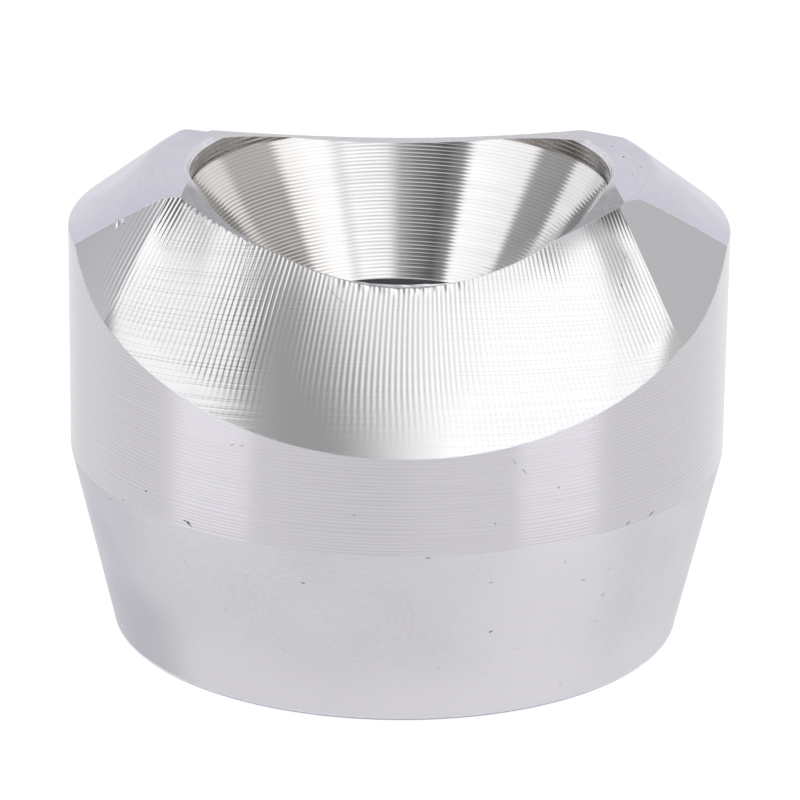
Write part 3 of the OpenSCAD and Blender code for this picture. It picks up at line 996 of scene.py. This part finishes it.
# ---------------------------------------------------------------- floor and light
def make_floor():
    fm = bpy.data.meshes.new("floor")
    fm.from_pydata([(-3, -3, 0), (3, -3, 0), (3, 3, 0), (-3, 3, 0)], [], [(0, 1, 2, 3)])
    o = bpy.data.objects.new("floor", fm)
    bpy.context.collection.objects.link(o)
    k = Nodes("floor_paper")
    pos = k.node("ShaderNodeNewGeometry").outputs["Position"]
    n = k.noise(pos, 40.0, 2.0)
    # bright paper, with painted shadow: black only under the part
    away = k.ramp(k.vmath("LENGTH", pos).node.outputs["Value"], 0.019, 0.0225)
    paper = k.mix(n, (0.16, 0.16, 0.16), (0.18, 0.18, 0.18))
    k.link(k.mix(away, (0.02, 0.02, 0.02), paper), k.bsdf.inputs["Base Color"])
    k.bsdf.inputs["Roughness"].default_value = 0.9
    k.bsdf.inputs["Specular IOR Level"].default_value = 0.1
    # painted pools of light: two brighter glowing panels on the floor, left and right of the camera, each between two
    # straight edges
    px, py, _ = k.split(pos)
    glow = None
    for a0, a1 in ((-42.2, -25.8), (20.2, 36.2)):
        sides = []
        for a in (a0, a1):
            a = math.radians(a)
            nx, ny = math.cos(2 * a), math.sin(2 * a)
            d0 = (nx * math.sin(a) - ny * math.cos(a)) * BAND_R * MM
            sides.append(k.math("MULTIPLY_ADD", px, nx, k.math("MULTIPLY_ADD", py, ny, -d0)))
        m = math.radians((a0 + a1) / 2)
        fx, fy = math.sin(2 * m), -math.cos(2 * m)
        far = k.math("MULTIPLY_ADD", px, fx, k.math("MULTIPLY", py, fy))
        light_pool = k.math("MULTIPLY", k.ramp(sides[0], 0.0, 0.002), k.ramp(sides[1], -0.002, 0.0, 1.0, 0.0))
        light_pool = k.math("MULTIPLY", light_pool, k.ramp(far, 0.058, 0.064))
        glow = light_pool if glow is None else k.math("ADD", glow, light_pool)
    lit = k.mix(glow, (0.90, 0.90, 0.90), (1.30, 1.30, 1.30))
    # a little less light from in front
    front = k.math("MULTIPLY", k.ramp(px, -0.055, -0.03), k.ramp(px, -0.006, 0.014, 1.0, 0.0))
    front = k.math("MULTIPLY", front, k.ramp(py, -0.062, -0.052, 1.0, 0.0))
    lit = k.mix(front, lit, (0.81, 0.81, 0.81))
    k.link(k.mix(away, (0.0, 0.0, 0.0), lit), k.bsdf.inputs["Emission Color"])
    k.bsdf.inputs["Emission Strength"].default_value = 1.0
    fm.materials.append(k.mat)


TOP_E = 2.6
# soft boxes and openings round the object: azimuth from the camera's side in degrees, + to the right; brightness
HIGH = [(-180, 1.0), (-130, 0.95), (-125, 0.52), (-95, 0.54), (-91, 1.4), (-51, 1.65), (-46, 0.42), (-32, 0.16), (-14, 0.31), (-2, 0.6),
        (8, 1.5), (14, 1.65), (34, 1.65), (42, 1.3), (50, 1.65), (80, 1.6), (84, 0.78), (116, 0.70), (126, 0.95), (180, 1.0)]
RING = [(-180, 1.0), (-126, 0.95), (-120, 0.5), (-93, 0.5), (-88, 1.45), (-54, 1.45), (-46, 1.3), (-38, 1.0), (-4, 1.0),
        (8, 0.9), (34, 1.0), (42, 1.0), (50, 1.5), (77, 1.55), (86, 0.75), (116, 0.7), (126, 0.95), (180, 1.0)]
LOW = [(-180, 0.96), (-142, 0.98), (-134, 1.25), (-121, 1.25), (-117, 0.45), (-90.5, 0.45), (-87.5, 1.2), (-30, 0.95), (0, 0.95), (40, 1.0), (74.7, 1.2), (77, 0.76),
       (116, 0.74), (122, 1.15), (134, 1.15), (142, 0.98), (180, 0.96)]
# overhead: a panel ahead and to the left, a panel from the middle to the right, and a dark gap between their straight edges
GAP, PANEL_LEFT, PANEL_RIGHT, OVER_REAR = 0.46, 1.50, 1.60, 1.0


def make_world():
    w = bpy.data.worlds.new("studio")
    bpy.context.scene.world = w
    w.use_nodes = True
    t = w.node_tree
    t.nodes.clear()

    def node(kind, **props):
        n = t.nodes.new(kind)
        for k, v in props.items():
            setattr(n, k, v)
        return n

    def calc(op, a, b=0.0, c=0.0):
        n = node("ShaderNodeMath", operation=op)
        for s, v in zip(n.inputs, (a, b, c)):
            if hasattr(v, "links"):
                t.links.new(v, s)
            else:
                s.default_value = v
        return n.outputs[0]

    def step(v, a, b):
        n = node("ShaderNodeMapRange", clamp=True, interpolation_type="SMOOTHSTEP")
        t.links.new(v, n.inputs[0])
        n.inputs[1].default_value, n.inputs[2].default_value = a, b
        return n.outputs[0]

    def blend(f, a, b):
        n = node("ShaderNodeMix", data_type="RGBA")
        for s, v in ((0, f), (6, a), (7, b)):
            t.links.new(v, n.inputs[s])
        return n.outputs[2]

    out = node("ShaderNodeOutputWorld")
    bg = node("ShaderNodeBackground")
    t.links.new(bg.outputs[0], out.inputs[0])
    bg.inputs["Strength"].default_value = TOP_E
    sx = node("ShaderNodeSeparateXYZ")
    t.links.new(node("ShaderNodeTexCoord").outputs["Generated"], sx.inputs[0])
    az = calc("ARCTAN2", sx.outputs[0], calc("MULTIPLY", sx.outputs[1], -1.0))
    place = calc("MULTIPLY_ADD", az, 1 / (2 * math.pi), 0.5)
    el = calc("MULTIPLY", calc("ARCSINE", sx.outputs[2]), 180 / math.pi)

    def ramp(stops):
        cr = node("ShaderNodeValToRGB")
        cr.color_ramp.interpolation = "LINEAR"
        t.links.new(place, cr.inputs[0])
        e = cr.color_ramp.elements
        while len(e) > 1:
            e.remove(e[-1])
        for i, (a, b) in enumerate(stops):
            pos = (a + 180) / 360.0
            s = e[0] if i == 0 else e.new(pos)
            s.position = pos
            s.color = (b / TOP_E, b / TOP_E, b / TOP_E, 1)
        return cr.outputs[0]

    def grey(v):
        n = node("ShaderNodeCombineColor")
        for s in n.inputs:
            t.links.new(v, s)
        return n.outputs[0]

    base = blend(step(el, 20.0, 30.0), ramp(LOW), ramp(HIGH))
    ring = step(el, 47.0, 50.0)
    base = blend(ring, base, ramp(RING))
    # overhead panels, laid out by the level parts of the direction
    dx, dy = sx.outputs[0], sx.outputs[1]
    ahead = step(calc("MULTIPLY_ADD", dx, -0.385, calc("MULTIPLY", dy, -1.0)), 0.331, 0.364)
    across = step(calc("MULTIPLY_ADD", dy, 0.7, dx), -0.25, 0.0)
    over = calc("MULTIPLY_ADD", ahead, (PANEL_LEFT - GAP) / TOP_E, GAP / TOP_E)
    over = calc("MAXIMUM", over, calc("MULTIPLY_ADD", across, (PANEL_RIGHT - GAP) / TOP_E, GAP / TOP_E))
    over = calc("MAXIMUM", over, calc("MULTIPLY_ADD", step(dx, 0.045, 0.095), (PANEL_RIGHT - GAP) / TOP_E, GAP / TOP_E))
    behind = step(dy, 0.25, 0.4)
    over = calc("MULTIPLY_ADD", behind, calc("SUBTRACT", OVER_REAR / TOP_E, over), over)
    t.links.new(blend(step(el, 59.0, 61.0), base, grey(over)), bg.inputs[0])


make_floor()
make_world()
sc = bpy.context.scene
sc.view_settings.view_transform = "Standard"
sc.view_settings.look = "None"
